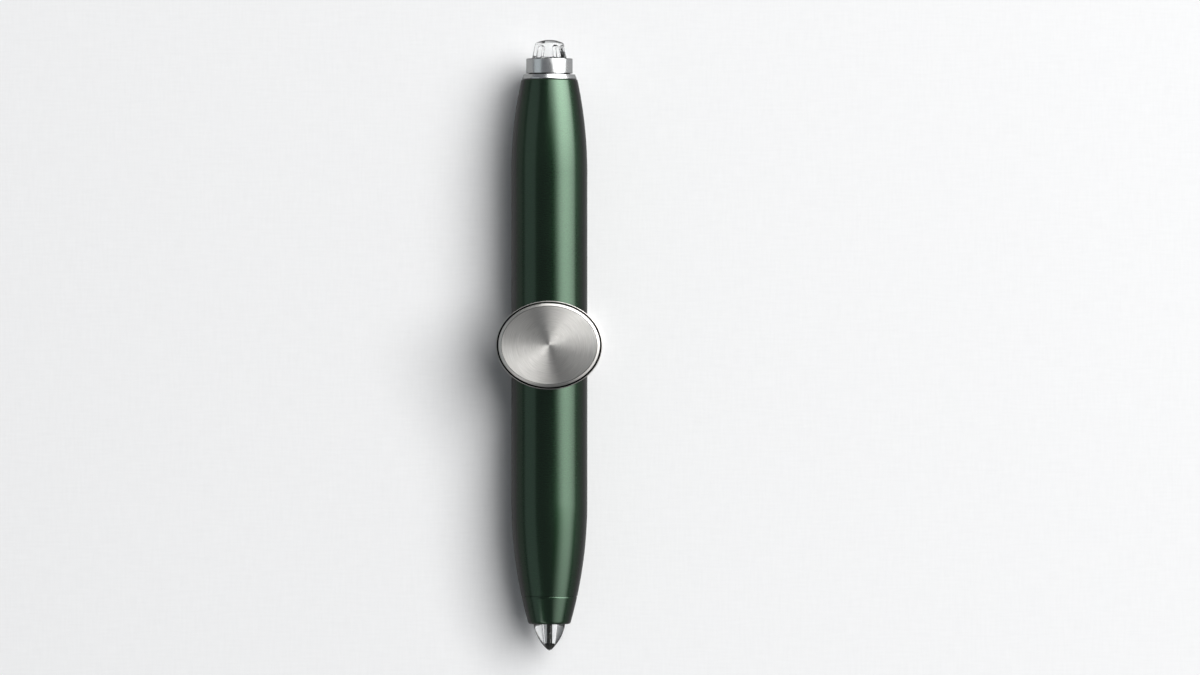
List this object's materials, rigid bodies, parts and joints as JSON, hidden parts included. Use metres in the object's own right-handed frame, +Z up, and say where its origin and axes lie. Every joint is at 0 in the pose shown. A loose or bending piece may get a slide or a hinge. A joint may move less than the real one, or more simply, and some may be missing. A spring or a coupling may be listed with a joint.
{
  "type": "spinner gel pen",
  "caption": "Dark green metal gel pen that spins on a ball bearing between two elliptical brushed steel finger pads, with a clear push-button light at one end and a clear writing nose.",
  "frame": {"origin": "centre of the back pad's resting face, on the axis that the barrel spins about", "axes": "+Z up along the spin axis, from the back pad to the front pad; +Y along the pen to the light end; +X to the right"},
  "size_m": [0.018, 0.1038, 0.018],
  "materials": {
    "green_aluminium": "satin, anodised dark green",
    "pad_steel": "brushed in circles, polished bevel",
    "bearing_steel": "ground",
    "cage_nylon": "matte",
    "collar_chrome": "polished",
    "clear_acrylic": "clear, polished",
    "led_resin": "water-clear resin",
    "tinned_wire": "tinned",
    "white_plastic": "moulded",
    "black_plastic": "moulded",
    "contact_brass": "stamped",
    "spring_steel": "drawn wire",
    "cell_nickel": "nickel plated",
    "clear_tube": "extruded clear plastic",
    "black_ink": "wet gel",
    "follower_gel": "clear grease",
    "dark_steel": "turned, dark",
    "ball_carbide": "polished"
  },
  "bodies": {
    "pads": {"front_pad": "pad_steel", "back_pad": "pad_steel", "bearing_inner_ring": "bearing_steel"},
    "barrel": {"barrel_tube": "green_aluminium", "bearing_outer_ring": "bearing_steel", "bearing_front_shield": "bearing_steel", "bearing_back_shield": "bearing_steel", "contact_spring": "spring_steel", "refill_spring": "spring_steel"},
    "cage": {"bearing_cage": "cage_nylon", "bearing_balls": "bearing_steel"},
    "light_unit": {"switch_body": "black_plastic", "cell_sleeve": "black_plastic", "plus_contact": "contact_brass", "button_cell_1": "cell_nickel", "button_cell_2": "cell_nickel", "button_cell_3": "cell_nickel", "button_spring": "spring_steel"},
    "collar": {"light_collar": "collar_chrome"},
    "button": {"lens_button": "clear_acrylic", "led": "led_resin", "led_legs": "tinned_wire", "led_carrier": "white_plastic", "switch_actuator": "white_plastic"},
    "nose_unit": {"nose_cone": "clear_acrylic", "refill_tube": "clear_tube", "point_holder": "white_plastic", "tail_plug": "white_plastic", "gel_ink": "black_ink", "ink_follower": "follower_gel", "writing_point": "dark_steel", "writing_ball": "ball_carbide"},
    "nose": {"nose_ring": "green_aluminium"}
  },
  "joints": [
    {"name": "pen_spin", "type": "hinge", "parent": "pads", "child": "barrel", "pos_m": [0, 0, 0.009], "axis": [0, 0, 1], "continuous": true},
    {"name": "cage_spin", "type": "hinge", "parent": "pads", "child": "cage", "pos_m": [0, 0, 0.009], "axis": [0, 0, 1], "continuous": true},
    {"name": "light_unit_slide", "type": "slide", "parent": "barrel", "child": "light_unit", "axis": [0, 1, 0], "range_m": [0, 0.0042], "deforming": ["contact_spring"]},
    {"name": "collar_turn", "type": "hinge", "parent": "light_unit", "child": "collar", "pos_m": [0, 0.047, 0.009], "axis": [0, 1, 0], "range_deg": [0, 2520]},
    {"name": "button_press", "type": "slide", "parent": "light_unit", "child": "button", "axis": [0, -1, 0], "range_m": [0, 0.0008], "stiffness_N_per_m": 600, "springref_m": -0.0012, "deforming": ["button_spring"]},
    {"name": "nose_unit_slide", "type": "slide", "parent": "barrel", "child": "nose_unit", "axis": [0, -1, 0], "range_m": [0, 0.0042], "deforming": ["refill_spring"]},
    {"name": "nose_turn", "type": "hinge", "parent": "nose_unit", "child": "nose", "pos_m": [0, -0.045, 0.009], "axis": [0, -1, 0], "range_deg": [0, 2520]}
  ],
  "couplings": [
    {"joint": "cage_spin", "follows": "pen_spin", "ratio": 0.6},
    {"joint": "collar_turn", "follows": "light_unit_slide", "rad_per_m": 10472},
    {"joint": "nose_turn", "follows": "nose_unit_slide", "rad_per_m": 10472}
  ]
}
